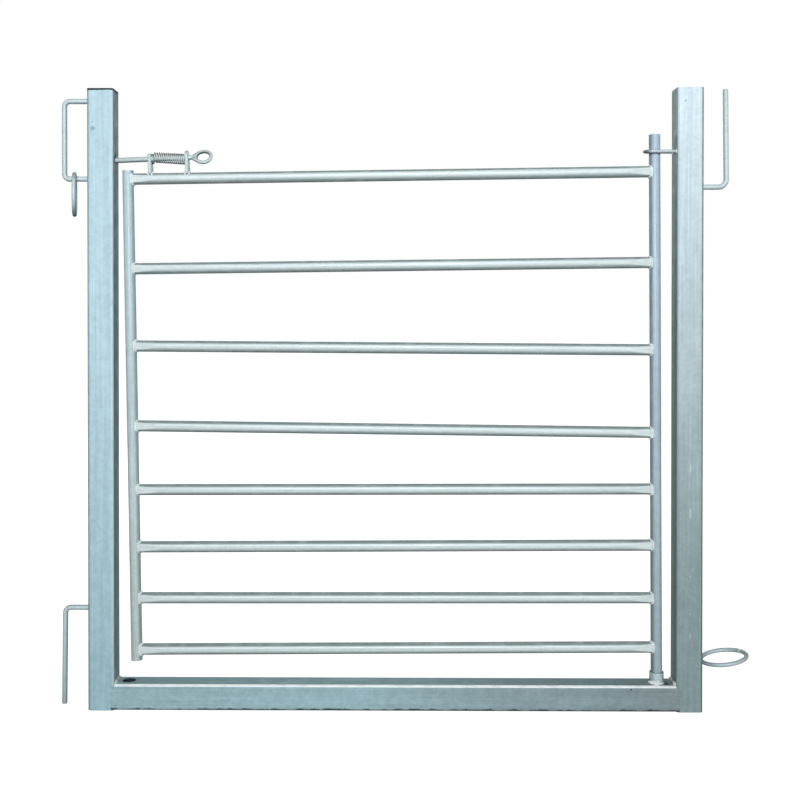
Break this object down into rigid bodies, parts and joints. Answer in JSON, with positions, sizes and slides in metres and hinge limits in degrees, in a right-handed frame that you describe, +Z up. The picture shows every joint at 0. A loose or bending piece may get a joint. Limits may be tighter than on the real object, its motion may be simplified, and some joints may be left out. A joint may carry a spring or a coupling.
{
  "type": "sheep gate",
  "caption": "Galvanised sheep gate: a tube-railed leaf on a socket and loop hinge in a box-section U frame, with a sprung pull bolt and pins and rings that couple it to hurdles.",
  "frame": {"origin": "on the ground, midway between the posts, in the middle of the sill's flat underside", "axes": "+X along the sill from the latch post to the hinge post, +Y away from the viewer of the picture, +Z up"},
  "size_m": [1.3123, 0.0926, 1.1801],
  "materials": {
    "galvanised_box_section": "hot-dip galvanised, dull spangle",
    "galvanised_tube": "hot-dip galvanised, satin",
    "galvanised_bar": "hot-dip galvanised, satin",
    "zinc_plated_spring": "zinc, satin"
  },
  "bodies": {
    "frame": {"latch_post": "galvanised_box_section", "hinge_post": "galvanised_box_section", "sill": "galvanised_box_section", "hinge_socket": "galvanised_tube", "hinge_loop": "galvanised_bar", "link_staple": "galvanised_bar", "drop_pin": "galvanised_bar", "coupling_pin": "galvanised_bar", "coupling_ring": "galvanised_bar"},
    "leaf": {"hinge_stile": "galvanised_tube", "latch_stile": "galvanised_tube", "top_rail": "galvanised_tube", "rail_2": "galvanised_tube", "rail_3": "galvanised_tube", "rail_4": "galvanised_tube", "rail_5": "galvanised_tube", "rail_6": "galvanised_tube", "rail_7": "galvanised_tube", "bottom_rail": "galvanised_tube", "outer_lug": "galvanised_bar", "inner_lug": "galvanised_bar", "latch_spring": "zinc_plated_spring"},
    "bolt": {"latch_bolt": "galvanised_bar", "bolt_collar": "galvanised_bar"},
    "link": {"link_ring": "galvanised_bar"}
  },
  "joints": [
    {"name": "leaf_swing", "type": "hinge", "parent": "frame", "child": "leaf", "pos_m": [0.5005, 0, 0.0504], "axis": [-0.0057, 0, 1], "range_deg": [-120, 120]},
    {"name": "bolt_slide", "type": "slide", "parent": "leaf", "child": "bolt", "axis": [0.9992, 0, 0.0401], "range_m": [0, 0.023], "stiffness_N_per_m": 600, "springref_m": -0.02, "deforming": ["latch_spring"]},
    {"name": "link_swing", "type": "hinge", "parent": "frame", "child": "link", "pos_m": [-0.6123, 0, 1.0108], "axis": [1, 0, 0], "continuous": true}
  ]
}
